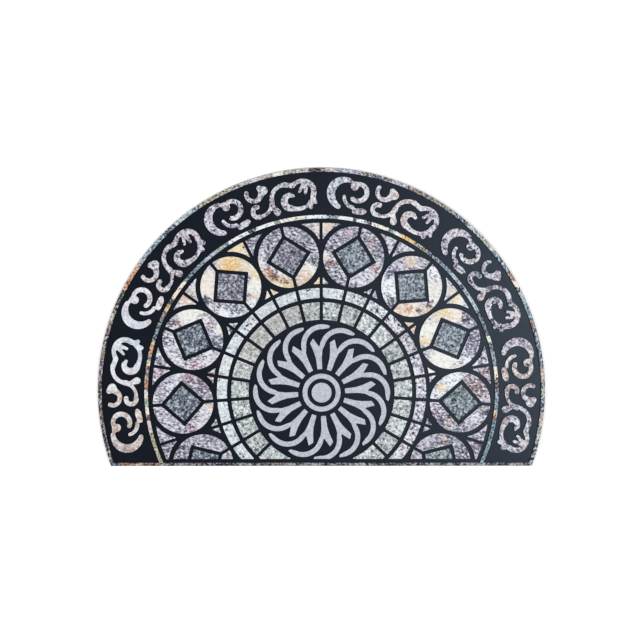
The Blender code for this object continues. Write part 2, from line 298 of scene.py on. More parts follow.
# The ground of the scrolls, and how thickly it is speckled from 0 to 1, in degrees
# clockwise from the top of the arc
SCROLL_TINTS = (
    (-112, "rosewood"), (-102, "fawn"), (-91, "fawn"), (-84, "pearl"), (-74, "mist"),
    (-66, "pearl"), (-58, "shell"), (-52, "ash"), (-28, "lilac"), (-10, "ash"), (2, "mist"),
    (12, "lilac"), (22, "shell"), (33, "lilac"), (44, "ash"), (68, "heather"), (77, "ash"),
    (85, "fawn"), (92, "heather"), (101, "ash"), (112, "heather"),
)
SCROLL_SPECKLE = (
    (-112, 0.35), (-92, 0.25), (-84, 0.1), (-66, 0.15), (-60, 0.5), (-54, 0.9), (-36, 0.9),
    (-4, 0.9), (12, 0.7), (24, 0.55), (36, 0.85), (44, 1.0), (70, 1.0), (84, 0.75), (112, 0.9),
)

# Patches of the marble print, by the medallion they are nearest to, counted in bays
# from the midline. Each is how far clockwise and how far outward it lies from the
# medallion's middle and how far it reaches, in mm, and its tint.
PATCHES = {
    9: (
        (34, 24, 34, "heather"), (48, -24, 20, "heather"),
    ),
    7: (
        (-30, 36, 26, "lilac"), (-52, -8, 12, "pink"), (-36, -30, 20, "pearl"),
        (-16, -54, 10, "peach"), (40, 40, 24, "lilac"), (40, -36, 34, "mauve"),
        (54, -12, 12, "pink"), (58, 52, 12, "pink"), (60, -54, 10, "pink"),
    ),
    5: (
        (-44, 25, 26, "pearl"), (-18, 50, 14, "plum"), (9, 54, 11, "plum"), (44, 30, 27, "ivory"),
        (15, 38, 6, "rust"), (-50, -24, 13, "pink"), (-24, -48, 18, "pearl"), (14, -52, 16, "plum"),
        (44, -42, 10, "ivory"), (41, -16, 8, "rose"), (24, -60, 8, "steel"),
        (-58, 52, 12, "heather"), (58, 52, 12, "peach"),
    ),
    3: (
        (-28, 34, 26, "cream"), (-53, 18, 8, "plum"), (-52, -28, 18, "white"),
        (-30, -54, 13, "white"), (-38, -10, 8, "plum"), (-26, -32, 9, "slate"),
        (-14, -47, 8, "slate"), (32, 40, 32, "yellow"), (22, 36, 17, "ochre"),
        (54, 10, 13, "cream"), (55, -10, 12, "yellow"), (40, -30, 18, "ivory"),
        (20, -44, 8, "peach"), (14, -58, 9, "white"), (-58, 52, 12, "shell"),
        (60, 54, 14, "yellow"), (60, -54, 10, "cream"),
    ),
    1: (
        (-26, 42, 28, "heather"), (-38, 20, 10, "slate"), (-58, 14, 10, "cream"),
        (28, 40, 28, "heather"), (40, -32, 18, "ivory"), (22, -50, 18, "peach"),
        (52, -12, 10, "slate"), (-54, -18, 13, "orange"), (-34, -52, 23, "yellow"),
        (-42, -27, 8, "rust"), (-26, -40, 7, "rust"), (-58, 52, 12, "heather"),
        (58, 52, 12, "shell"), (60, -54, 10, "yellow"),
    ),
    -1: (
        (-26, 42, 30, "heather"), (-20, 46, 6, "rose"), (-50, 24, 14, "heather"),
        (30, 36, 30, "heather"), (26, 40, 7, "rose"), (-58, -8, 9, "cream"),
        (-40, -36, 24, "heather"), (-46, -18, 7, "rose"), (-16, -55, 14, "heather"),
        (40, -38, 18, "pearl"), (51, -12, 9, "rose"), (14, -58, 10, "ash"), (-58, 52, 12, "peach"),
        (58, 52, 12, "pearl"),
    ),
    -3: (
        (-30, 38, 17, "shell"), (-32, 34, 7, "peach"), (-50, 14, 13, "lilac"), (-53, 0, 12, "iris"),
        (12, 50, 12, "white"), (37, 28, 24, "ivory"), (54, -14, 12, "peach"),
        (30, -38, 25, "cream"), (50, 0, 7, "rosewood"), (30, -38, 10, "orange"),
        (48, -24, 6, "rosewood"), (-34, -36, 20, "white"), (-18, -50, 9, "plum"),
        (10, -58, 8, "peach"), (-60, 52, 14, "heather"), (58, 52, 12, "shell"),
        (60, -54, 10, "peach"),
    ),
    -5: (
        (-38, 32, 20, "cream"), (-54, 8, 18, "yellow"), (-22, 48, 11, "plum"), (20, 42, 22, "iris"),
        (54, 8, 17, "white"), (-32, -28, 25, "ivory"), (-20, -48, 10, "yellow"),
        (42, -30, 28, "ivory"), (-60, 52, 12, "yellow"), (58, 52, 13, "iris"),
        (-60, -54, 10, "peach"), (60, -54, 10, "ivory"),
    ),
    -7: (
        (-30, 34, 26, "rosewood"), (-46, -14, 20, "white"), (-30, -40, 8, "yellow"),
        (-12, -54, 12, "white"), (12, 52, 11, "plum"), (50, 16, 18, "heather"),
        (26, 28, 11, "pearl"), (34, -38, 30, "mauve"), (44, -17, 7, "peach"),
        (-58, 52, 12, "rosewood"), (58, 52, 13, "heather"), (60, -54, 10, "heather"),
    ),
    -9: (
        (-40, 10, 46, "heather"), (-54, -17, 6, "peach"), (-20, -52, 18, "lilac"),
        (-58, 54, 14, "mauve"),
    ),
}


# --------------------------------------------------------------- settings


def length(label, default, description):
    """A size that a user can change, in the scene's length unit."""
    return bpy.props.FloatProperty(
        name=label,
        description=description,
        default=default,
        min=0.0,
        precision=4,
        unit="LENGTH",
        subtype="DISTANCE",
    )


def colour(label, default, description):
    """A colour that a user can change."""
    return bpy.props.FloatVectorProperty(
        name=label,
        description=description,
        default=default,
        size=3,
        min=0.0,
        max=1.0,
        subtype="COLOR",
    )


class DoormatSizes(bpy.types.PropertyGroup):
    """Sizes of the lands."""

    rim: length("Rim", 7.9 * MM, "Width of the rim along the arc")
    front_rim: length("Front Rim", 6.9 * MM, "Width of the rim along the straight edge")
    bead: length("Bead", 7.7 * MM, "Width of the bead between the scrolls and the stones")
    channel: length("Channel", 6.0 * MM, "Width of the channels between stones")
    medallion: length("Medallion", 61.4 * MM, "Radius of a medallion's round stone")
    square: length("Square", 36.8 * MM, "Half the diagonal of the square stone in a medallion")
    window: length("Window", 46.2 * MM, "Half the diagonal of the opening round the square stone")
    boss: length("Boss", 20.5 * MM, "Radius of the button in the middle of the rosette")
    rounding: length("Rounding", 0.8 * MM, "Rounding along the top edges of the lands")
    corner: length("Corner", 1.4 * MM, "Radius of the stones' corners, seen from above")


class DoormatColours(bpy.types.PropertyGroup):
    """Colours of the rubber and of the print."""

    rubber: colour("Rubber", paint(9, 11, 20), "The moulded rubber in the channels")
    rosette: colour("Rosette", paint(188, 191, 202), "The plain flock of the rosette")
    pale_granite: colour("Pale Granite", paint(174, 182, 182), "The inner ring of blocks")
    pale_marble: colour("Pale Marble", paint(203, 213, 221), "The outer ring of blocks")
    dark_granite: colour("Dark Granite", paint(102, 109, 123), "The square stones")
    marble: colour("Marble", paint(188, 185, 200), "The medallions and the stones between them")
    floor: colour("Floor", paint(254, 254, 254), "The floor that the mat lies on")


# --------------------------------------------------------------- modelling


def polar(radius, degrees):
    angle = math.radians(degrees)
    return radius * math.cos(angle), radius * math.sin(angle)


def placed(x, y, z=0.0):
    """A point of the pattern, measured from the arc's centre, in the mat's frame."""
    return Vector((CENTRE.x + x, CENTRE.y + y, z))


def turn(degrees):
    """Turns what is modelled at the top of the arc to this angle of the pattern."""
    about = Matrix.Translation(CENTRE)
    return about @ Matrix.Rotation(math.radians(degrees - 90), 4, "Z") @ about.inverted()


def steps_for(radius, degrees):
    """Enough facets for an arc of this size."""
    length = radius * math.radians(abs(degrees))
    return max(2, math.ceil(length / FACET), math.ceil(abs(degrees) / FACET_TURN))


def nothing_selected():
    if bpy.context.object and bpy.context.object.mode != "OBJECT":
        bpy.ops.object.mode_set(mode="OBJECT")
    bpy.ops.object.select_all(action="DESELECT")


def chosen(thing):
    """Makes this the one selected and active object."""
    nothing_selected()
    thing.select_set(True)
    bpy.context.view_layer.objects.active = thing


def editing_done():
    bpy.ops.object.mode_set(mode="OBJECT")


def all_selected():
    bpy.ops.mesh.select_all(action="SELECT")


def opened(thing):
    """Takes an object into edit mode with all of it selected."""
    chosen(thing)
    bpy.ops.object.mode_set(mode="EDIT")
    all_selected()


def begin(name, add, **settings):
    """Adds a primitive, puts its place in its mesh and opens it."""
    nothing_selected()
    add(**settings)
    thing = bpy.context.object
    thing.name = thing.data.name = name
    bpy.ops.object.transform_apply()
    opened(thing)
    return thing


def disc(name, radius, x=0.0, y=0.0, steps=None):
    """A flat filled circle about a point of the pattern, at the foot of the lands."""
    return begin(
        name,
        bpy.ops.mesh.primitive_circle_add,
        vertices=steps or 4 * math.ceil(steps_for(radius, 360) / 4),
        radius=radius,
        fill_type="NGON",
        location=placed(x, y, FOOT),
    )


def drawn(name, points):
    """A flat filled outline, drawn as a curve and made a mesh, at the foot of the lands."""
    nothing_selected()
    curve = bpy.data.curves.new(name, "CURVE")
    curve.dimensions = "2D"
    curve.fill_mode = "FRONT"
    spline = curve.splines.new("POLY")
    spline.points.add(len(points) - 1)
    spline.use_cyclic_u = True
    for point, (x, y) in zip(spline.points, points):
        point.co = (*placed(x, y)[:2], 0, 1)
    thing = bpy.data.objects.new(name, curve)
    bpy.context.scene.collection.objects.link(thing)
    chosen(thing)
    bpy.ops.object.convert(target="MESH")
    thing = bpy.context.object
    thing.location.z = FOOT
    bpy.ops.object.transform_apply()
    opened(thing)
    bpy.ops.mesh.remove_doubles(threshold=MM / 1000)
    bpy.ops.mesh.dissolve_limited(angle_limit=math.radians(1))
    return thing


def pick(thing, kind, test):
    """Selects the vertices, edges or faces that pass a test."""
    bpy.ops.mesh.select_mode(type=kind)
    bpy.ops.mesh.select_all(action="DESELECT")
    mesh = bmesh.from_edit_mesh(thing.data)
    elements = {"VERT": mesh.verts, "EDGE": mesh.edges, "FACE": mesh.faces}[kind]
    found = [element for element in elements if test(element)]
    for element in found:
        element.select_set(True)
    mesh.select_flush_mode()
    bmesh.update_edit_mesh(thing.data)
    return len(found)


def keep_side(point, normal):
    """Cuts away what lies behind a plane."""
    all_selected()
    bpy.ops.mesh.bisect(plane_co=point, plane_no=normal, clear_inner=True)


def raise_land(height=None):
    """Draws a flat outline up to the height of the lands."""
    all_selected()
    bpy.ops.mesh.extrude_region_move(
        TRANSFORM_OT_translate={"value": (0, 0, height or TOP - FOOT)}
    )
    outwards()


def outwards():
    all_selected()
    bpy.ops.mesh.normals_make_consistent(inside=False)


def brink(edge):
    """An edge round the flat top of a land."""
    if min(vertex.co.z for vertex in edge.verts) < TOP - HAIR:
        return False
    return any(abs(face.normal.z) < 0.5 for face in edge.link_faces)


def tidied(slack):
    """Merges points that lie this close together."""
    all_selected()
    bpy.ops.mesh.remove_doubles(threshold=slack)
    bpy.ops.mesh.dissolve_degenerate(threshold=slack / 2)


def soften(thing, rounding=None):
    """Rounds the edge of a land's top and closes the land's editing."""
    tidied(0.02 * MM)
    pick(thing, "EDGE", brink)
    bpy.ops.mesh.bevel(
        offset=rounding or bpy.context.scene.doormat_sizes.rounding,
        segments=3,
        affect="EDGES",
        clamp_overlap=False,
    )
    tidied(0.004 * MM)
    editing_done()


def raise_stone(flat, radius, rounding):
    """Rounds the corners of a flat outline, draws it up, and rounds the edge of its top."""
    opened(flat)
    mesh = bmesh.from_edit_mesh(flat.data)
    outlines = [rounded([corner.co.xy for corner in face.verts], radius) for face in mesh.faces]
    bmesh.ops.delete(mesh, geom=mesh.verts[:], context="VERTS")
    for outline in outlines:
        mesh.faces.new([mesh.verts.new((*point, FOOT)) for point in outline])
    bmesh.update_edit_mesh(flat.data)
    raise_land()
    soften(flat, rounding)
    return flat


def copied(thing, matrix):
    """A copy with a mesh of its own, moved by a matrix."""
    copy = thing.copy()
    copy.data = thing.data.copy()
    copy.data.transform(matrix)
    bpy.context.scene.collection.objects.link(copy)
    return copy


def spread(flat, angles, radius=None, rounding=None):
    """Stones of this flat outline, turned to these angles and cut at the field's foot."""
    radius = radius or bpy.context.scene.doormat_sizes.corner
    editing_done()
    whole = raise_stone(copied(flat, Matrix()), radius, rounding)
    foot = CENTRE.y + FIELD_FOOT
    stones = []
    for angle in angles:
        heights = [(turn(angle) @ vertex.co).y for vertex in flat.data.vertices]
        if min(heights) >= foot:
            stones.append(copied(whole, turn(angle)))
        elif max(heights) > foot + LEAST_STONE:
            stone = copied(flat, turn(angle))
            opened(stone)
            keep_side((0, foot, 0), (0, 1, 0))
            stones.append(raise_stone(stone, radius, rounding))
    for spare in (flat, whole):
        bpy.data.objects.remove(spare, do_unlink=True)
    return stones


def joined(name, things):
    nothing_selected()
    for thing in things:
        thing.select_set(True)
    bpy.context.view_layer.objects.active = things[0]
    if len(things) > 1:
        bpy.ops.object.join()
    made = bpy.context.object
    made.name = made.data.name = name
    return made


def applied(thing, kind, **settings):
    """Adds a modifier and applies it."""
    chosen(thing)
    modifier = thing.modifiers.new(kind.lower(), kind)
    for name, value in settings.items():
        setattr(modifier, name, value)
    bpy.ops.object.modifier_apply(modifier=modifier.name)


def finish_piece(thing, material, slot="flock"):
    """Shades a piece, gives it its material, and rides it on the mat's body."""
    chosen(thing)
    bpy.ops.object.shade_smooth()
    applied(thing, "WEIGHTED_NORMAL", mode="FACE_AREA", weight=100, keep_sharp=True)
    thing.data.materials.clear()
    thing.data.materials.append(material)
    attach(thing, "root")
    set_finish(thing, slot)
    return thing


# ---------------------------------------------------------------- outlines


def arc(centre, radius, start, end):
    count = steps_for(radius, end - start)
    points = []
    for index in range(count + 1):
        x, y = polar(radius, start + (end - start) * index / count)
        points.append((centre[0] + x, centre[1] + y))
    return points


def sector_outline(inner, outer, half_angle):
    """A stretch of a ring, to this many degrees on each side of the top of the arc."""
    outline = arc((0, 0), outer, 90 - half_angle, 90 + half_angle)
    return outline + arc((0, 0), inner, 90 + half_angle, 90 - half_angle)


def run_length(run):
    return sum(math.dist(here, after) for here, after in zip(run, run[1:]))


def shortened(run, reach):
    """A run of points without this length at its start."""
    for index, (here, after) in enumerate(zip(run, run[1:])):
        length = math.dist(here, after)
        if length > reach:
            return [here.lerp(after, reach / length)] + run[index + 1 :]
        reach -= length
    return run[-1:]


def rounded(points, radius):
    """A closed outline with its corners rounded to a radius, or as near as there is room."""
    count = len(points)
    turns = []
    for index, here in enumerate(points):
        turns.append((here - points[index - 1]).angle_signed(points[(index + 1) % count] - here))
    corners = [index for index in range(count) if abs(turns[index]) > CORNER_TURN]
    if not corners:
        return points
    # The runs between corners, the first of which follows the first corner
    runs = []
    for here, after in zip(corners, corners[1:] + [corners[0] + count]):
        runs.append([points[index % count] for index in range(here, after + 1)])
    reaches = []
    for order, corner in enumerate(corners):
        room = 0.45 * min(run_length(runs[order - 1]), run_length(runs[order]))
        reaches.append(min(radius * math.tan(abs(turns[corner]) / 2), room))
    outline = []
    for order, corner in enumerate(corners):
        start = shortened(runs[order - 1][::-1], reaches[order])[0]
        run = shortened(runs[order], reaches[order])
        outline += fillet(start, points[corner], run[0], turns[corner])
        after = reaches[(order + 1) % len(corners)]
        outline += shortened(run[::-1], after)[:0:-1][1:]
    return outline


def fillet(start, corner, end, turn_by):
    """Points on a round arc from start to end, heading for the corner at first."""
    pull = 2 * math.cos(turn_by / 2)
    steps = max(2, math.ceil(abs(turn_by) / FILLET_TURN))
    points = []
    for index in range(steps + 1):
        t = index / steps
        shares = ((1 - t) ** 2, pull * t * (1 - t), t**2)
        point = start * shares[0] + corner * shares[1] + end * shares[2]
        points.append(point / sum(shares))
    return points


def leaf_outline():
    """One leaf of the rosette, with +Y along its stem."""
    outline = []
    for piece in LEAF:
        if isinstance(piece, Sweep):
            centre = (piece.x * MM, piece.y * MM)
            outline += arc(centre, piece.radius * MM, piece.start, piece.end)
        else:
            outline.append((piece[0] * MM, piece[1] * MM))
    return outline


def spandrel_outline(corner, side, gap):
    """A three-sided stone beside the channel at the top of the arc."""
    middle_x, middle_y = polar(MEDALLION_RING, 90 - BAY)
    # The collar starts on the channel's side and ends on the ring.
    rise = corner.outward * math.sqrt(corner.collar**2 - (middle_x - gap) ** 2)
    start = math.degrees(math.atan2(rise, gap - middle_x))
    reach = corner.ring**2 + MEDALLION_RING**2 - corner.collar**2
    spread_out = math.degrees(math.acos(reach / (2 * corner.ring * MEDALLION_RING)))
    ring_start = 90 - BAY + spread_out
    far_x, far_y = polar(corner.ring, ring_start)
    end = math.degrees(math.atan2(far_y - middle_y, far_x - middle_x))
    ring_end = 90 - math.degrees(math.asin(gap / corner.ring))
    outline = arc((middle_x, middle_y), corner.collar, start, end)
    outline += arc((0, 0), corner.ring, ring_start, ring_end)[1:]
    return [(side * x, y) for x, y in outline]


def stroke_discs(stroke):
    """Rows of u, v and half width close together along a stroke."""
    if isinstance(stroke, Bow):
        reach = stroke.radius * math.radians(abs(stroke.end - stroke.start))
    else:
        reach = math.hypot(stroke.to_u - stroke.u, stroke.to_v - stroke.v)
    t = np.linspace(0, 1, max(6, int(2 * reach)))
    start, middle, end = stroke.wide
    wide = start * (1 - t) * (1 - 2 * t) + 4 * middle * t * (1 - t) + end * t * (2 * t - 1)
    if isinstance(stroke, Drop):
        u = stroke.u + (stroke.to_u - stroke.u) * t
        v = stroke.v + (stroke.to_v - stroke.v) * t
    else:
        angle = np.radians(stroke.start + (stroke.end - stroke.start) * t)
        u = stroke.u + stroke.radius * np.cos(angle)
        v = stroke.v + stroke.radius * np.sin(angle)
    return np.column_stack((u, v, wide))


def distance_field(strokes, u, v):
    """Distance from each grid point to the strokes, with their corners filled."""
    field = None
    for stroke in strokes:
        reach = np.full(u.shape, 1e3)
        for disc_u, disc_v, wide in stroke_discs(stroke):
            reach = np.minimum(reach, np.hypot(u - disc_u, v - disc_v) - wide)
        if field is None:
            field = reach
            continue
        near = np.maximum(FILLET - np.abs(field - reach), 0) / FILLET
        field = np.minimum(field, reach) - near * near * FILLET / 4
    return field


def edge_point(field, us, vs, edge):
    (i, j), (k, m) = edge
    share = field[i, j] / (field[i, j] - field[k, m])
    return us[i] + (us[k] - us[i]) * share, vs[j] + (vs[m] - vs[j]) * share


def outline_of(field, us, vs):
    """The loop along which the field is nought, by marching squares."""
    follow = {}
    for i in range(len(us) - 1):
        for j in range(len(vs) - 1):
            corners = ((i, j), (i + 1, j), (i + 1, j + 1), (i, j + 1))
            inside = [field[corner] < 0 for corner in corners]
            leave, enter = [], []
            for k in range(4):
                if inside[k] != inside[k - 1]:
                    edge = tuple(sorted((corners[k - 1], corners[k])))
                    (leave if inside[k - 1] else enter).append(edge)
            follow.update(zip(leave, enter))
    first = min(follow)
    edge, loop = follow[first], [first]
    while edge != first:
        loop.append(edge)
        edge = follow[edge]
    return [edge_point(field, us, vs, edge) for edge in loop]


def thinned(points, slack):
    """An open run of points, without those that lie within slack of a chord."""
    if len(points) < 3:
        return points
    run = np.array(points)
    chord = run[-1] - run[0]
    off = run - run[0]
    reach = np.abs(chord[0] * off[:, 1] - chord[1] * off[:, 0]) / np.hypot(*chord)
    far = int(np.argmax(reach))
    if reach[far] < slack:
        return [points[0], points[-1]]
    return thinned(points[: far + 1], slack)[:-1] + thinned(points[far:], slack)


def scroll_outline(strokes):
    """One piece of the scroll, in mm along and across the band."""
    discs = np.concatenate([stroke_discs(stroke) for stroke in strokes])
    low = (discs[:, :2] - discs[:, 2:]).min(axis=0) - FILLET
    high = (discs[:, :2] + discs[:, 2:]).max(axis=0) + FILLET
    us = np.arange(low[0], high[0] + GRID, GRID)
    vs = np.arange(low[1], high[1] + GRID, GRID)
    loop = outline_of(distance_field(strokes, *np.meshgrid(us, vs, indexing="ij")), us, vs)
    half = int(np.argmax([math.dist(loop[0], point) for point in loop]))
    there = thinned(loop[: half + 1], SLACK)
    back = thinned(loop[half:] + loop[:1], SLACK)
    return there[:-1] + back[:-1]


def bent(points, start):
    """The scroll's points laid clockwise along the band from an angle."""
    laid = []
    for u, v in points:
        laid.append(polar(SCROLL_LINE + v * MM, start - math.degrees(u * MM / SCROLL_LINE)))
    return laid


# --------------------------------------------------------------- materials


RED, BLUE = 0, 2


class Wire:
    """An output in a material, on which maths is written as Python."""

    def __init__(self, surface, socket):
        self.surface, self.socket = surface, socket

    def __add__(self, other):
        return self.surface.maths("ADD", self, other)

    def __sub__(self, other):
        return self.surface.maths("SUBTRACT", self, other)

    def __rsub__(self, other):
        return self.surface.maths("SUBTRACT", other, self)

    def __mul__(self, other):
        return self.surface.maths("MULTIPLY", self, other)

    def __truediv__(self, other):
        return self.surface.maths("DIVIDE", self, other)

    __radd__ = __add__
    __rmul__ = __mul__


class Surface:
    """A material being made, with its nodes added through node()."""

    def __init__(self, name):
        self.material = bpy.data.materials.new(name)
        self.material.use_nodes = True
        self.tree = self.material.node_tree
        self.shader = self.tree.nodes["Principled BSDF"]
        where = self.node("ShaderNodeTexCoord", take="Object")
        self.place = self.vector("SUBTRACT", where, CENTRE)
        parts = self.node("ShaderNodeSeparateXYZ", inputs={0: self.place})
        sockets = parts.socket.node.outputs
        self.x, self.y, self.z = (Wire(self, socket) for socket in sockets)

    def node(self, kind, settings=None, inputs=None, take=0):
        """Adds a node: first its settings, then the values or links of its sockets."""
        node = self.tree.nodes.new(kind)
        for name, value in (settings or {}).items():
            if name == "stops":
                self.set_stops(node.color_ramp, value)
            elif name == "interpolation":
                node.color_ramp.interpolation = value
            else:
                setattr(node, name, value)
        for key, value in (inputs or {}).items():
            self.feed(node.inputs[key], value)
        return Wire(self, node.outputs[take])

    @staticmethod
    def set_stops(ramp, stops):
        while len(ramp.elements) < len(stops):
            ramp.elements.new(1.0)
        for element, (position, tint) in zip(ramp.elements, stops):
            element.position = position
            element.color = (*tint, 1.0)

    def feed(self, socket, value):
        if isinstance(value, Wire):
            self.tree.links.new(value.socket, socket)
        elif socket.type == "RGBA" and len(value) == 3:
            socket.default_value = (*value, 1.0)
        else:
            socket.default_value = value

    def set(self, name, value):
        """Sets or links a socket of the shader."""
        self.feed(self.shader.inputs[name], value)

    def maths(self, operation, *values):
        return self.node("ShaderNodeMath", {"operation": operation}, dict(enumerate(values)))

    def vector(self, operation, *values):
        return self.node("ShaderNodeVectorMath", {"operation": operation}, dict(enumerate(values)))

    def fade(self, value, low, high):
        """A smooth rise from 0 at low to 1 at high."""
        return self.node(
            "ShaderNodeMapRange",
            {"interpolation_type": "SMOOTHSTEP"},
            {0: value, 1: low, 2: high, 3: 0.0, 4: 1.0},
        )

    def mix(self, factor, below, above):
        """Colour above over colour below."""
        return self.node(
            "ShaderNodeMix", {"data_type": "RGBA"}, {0: factor, 6: below, 7: above}, take=2
        )

    def share(self, colour, which):
        """How much red, green or blue there is in a colour."""
        return self.node("ShaderNodeSeparateColor", inputs={0: colour}, take=which)

    def toned(self, colour, tone):
        """A colour made lighter or darker by a number."""
        return self.vector("MULTIPLY", colour, tone)

    def steps(self, value, low, high, stops, interpolation="CONSTANT"):
        """A colour that changes along a value, by stops of value and colour."""
        placed_stops = [((stop - low) / (high - low), tint) for stop, tint in stops]
        share = (value - low) / (high - low)
        return self.node(
            "ShaderNodeValToRGB",
            {"stops": placed_stops, "interpolation": interpolation},
            {0: share},
        )

    def stripes(self, value, reach, chart, interpolation="CONSTANT"):
        """Named tints along a value from -reach to reach, with one ramp for each side of 0."""
        sides = []
        for low, high in ((-reach, 0), (0, reach)):
            stops = [(at, TINTS[tint]) for at, tint in chart if low <= at <= high]
            sides.append(self.steps(value, low, high, stops, interpolation))
        return self.mix(self.maths("GREATER_THAN", value, 0.0), *sides)

    def stretched(self, along, across, degrees=0.0):
        """The place, scaled to features this long and wide, along a direction."""
        return self.node(
            "ShaderNodeMapping",
            {"vector_type": "TEXTURE"},
            {0: self.place, 2: (0, 0, math.radians(degrees)), 3: (along, across, across)},
        )

    def noise(self, size, detail=2.0, seed=0.0, where=None, rough=0.5):
        """Soft noise from 0 to 1, with features of about this size."""
        return self.node(
            "ShaderNodeTexNoise",
            {"noise_dimensions": "4D"},
            {
                "Vector": where or self.place,
                "W": seed,
                "Scale": 1.0 / size,
                "Detail": detail,
                "Roughness": rough,
            },
        )

    def warped(self, amount, size, seed=0.0):
        """The place, pushed about by noise."""
        push = self.node(
            "ShaderNodeTexNoise",
            {"noise_dimensions": "4D"},
            {"Vector": self.place, "W": seed, "Scale": 1.0 / size, "Detail": 3.0},
            take="Color",
        )
        push = self.vector("SUBTRACT", push, (0.5, 0.5, 0.5))
        push = self.vector("MULTIPLY", push, (2 * amount,) * 3)
        return self.vector("ADD", self.place, push)

    def clockwise(self, waver=0.0, size=MM):
        """Degrees clockwise from the top of the arc, wavering this much."""
        degrees = self.maths("ARCTAN2", self.x, self.y) * math.degrees(1)
        return degrees + (self.noise(size, 3.0, seed=1.0) - 0.5) * waver if waver else degrees

    def radius(self):
        """Distance from the arc's centre."""
        return self.maths("SQRT", self.x * self.x + self.y * self.y)


def set_colour(name):
    """One of the colours that a user can change."""
    return tuple(getattr(bpy.context.scene.doormat_colours, name))


def rubber_finish(surface):
    """Moulded rubber: near black and satin, with a faint bloom in places."""
    base = set_colour("rubber")
    bloom = surface.noise(45 * MM, 3.0, seed=3.0)
    dust = surface.noise(2.6 * MM, 3.0, seed=5.0)
    tint = surface.toned(base, 0.4 + bloom * 0.6 + dust * 0.6)
    rough = 0.36 + bloom * 0.10 + dust * 0.08
    return tint, rough


def satin(surface, level):
    """Sets the shine of rubber or flock, cooler than the light."""
    surface.set("Specular IOR Level", level)
    surface.set("Specular Tint", (0.62, 0.80, 1.0, 1.0))


def rubber_material():
    surface = Surface("moulded_rubber")
    tint, rough = rubber_finish(surface)
    surface.set("Base Color", tint)
    surface.set("Roughness", rough)
    satin(surface, 0.35)
    pebble = surface.noise(0.9 * MM, 2.0, seed=7.0)
    wave = surface.noise(9.0 * MM, 2.0, seed=8.0)
    bump = surface.node(
        "ShaderNodeBump",
        inputs={"Strength": 0.35, "Distance": 0.2 * MM, "Height": pebble + wave * 0.6},
    )
    surface.set("Normal", bump)
    return surface.material


def flocked(surface, print_colour):
    """Short printed flock on the flat of a land, with bare rubber round its edge."""
    fibre = surface.noise(0.55 * MM, 2.0, seed=11.0)
    tuft = surface.noise(2.2 * MM, 2.0, seed=12.0)
    printed = surface.toned(print_colour, 0.60 + fibre * 0.21 + tuft * 0.17)
    rubber, rough = rubber_finish(surface)
    ragged = surface.z + (tuft - 0.5) * (0.12 * MM)
    cover = surface.fade(ragged, TOP - 0.22 * MM, TOP - 0.08 * MM)
    surface.set("Base Color", surface.mix(cover, rubber, printed))
    surface.set("Roughness", rough + cover * 0.45)
    satin(surface, 0.2)
    surface.set("Sheen Weight", 0.06)
    surface.set("Sheen Roughness", 0.5)
    bump = surface.node(
        "ShaderNodeBump",
        inputs={"Strength": 0.5, "Distance": 0.25 * MM, "Height": fibre + tuft * 0.7},
    )
    surface.set("Normal", bump)
    return surface.material


def grained(surface, base, grain, light, dark, lit, sunk):
    """Light and dark crystals over a base, each to a strength from 0 to 1."""
    tint = surface.mix(surface.fade(grain, 0.505, 0.60) * lit, base, light)
    return surface.mix(surface.fade(grain, 0.485, 0.39) * sunk, tint, dark)


def rosette_material():
    surface = Surface("plain_flock")
    base = set_colour("rosette")
    grain = surface.noise(2.8 * MM, 2.0, seed=21.0, rough=0.6)
    return flocked(
        surface,
        grained(surface, base, grain, paint(212, 216, 226), paint(160, 162, 174), 0.6, 0.6),
    )


def bay_lot(surface):
    """A number from 0 to 1 for each bay of the pattern."""
    bay = surface.maths("FLOOR", (surface.clockwise() + (MIDLINE - 90)) / BAY)
    return surface.node("ShaderNodeTexWhiteNoise", {"noise_dimensions": "1D"}, {"W": bay}, "Value")


def pale_granite_material():
    """Grey and white granite of the inner ring, a little different in each block."""
    surface = Surface("pale_granite_flock")
    base = set_colour("pale_granite")
    clockwise = surface.clockwise()
    warm = surface.fade(clockwise, -80, -58) * surface.fade(clockwise, 4, -30)
    base = surface.mix(warm * 0.7, base, paint(188, 184, 182))
    base = surface.mix(surface.fade(clockwise, -10, 20), base, paint(178, 184, 188))
    tone = 0.88 + bay_lot(surface) * 0.24
    grain = surface.noise(4.6 * MM, 3.0, seed=22.0, rough=0.68)
    early = surface.fade(clockwise, -62, -84)
    strong = (1.0 - warm * 0.3) * 0.95
    dark = surface.mix(early, paint(82, 92, 96), paint(72, 74, 90))
    tint = grained(surface, base, grain, paint(234, 240, 238), dark, strong, strong)
    return flocked(surface, surface.toned(tint, tone))


def dark_granite_material():
    """Grey granite of the square stones: bluish, purple in places, greener at the right."""
    surface = Surface("dark_granite_flock")
    base = set_colour("dark_granite")
    clockwise = surface.clockwise()
    purple = surface.fade(clockwise, -52, -42) * surface.fade(clockwise, -4, -10)
    base = surface.mix(purple * 0.8, base, paint(128, 122, 138))
    base = surface.mix(surface.fade(clockwise, 0, 20), base, paint(126, 136, 148))
    base = surface.mix(surface.fade(clockwise, 66, 76), base, paint(122, 136, 140))
    grain = surface.noise(4.4 * MM, 3.0, seed=23.0, rough=0.7)
    tint = grained(surface, base, grain, paint(204, 214, 220), paint(36, 42, 56), 0.8, 0.95)
    return flocked(surface, tint)


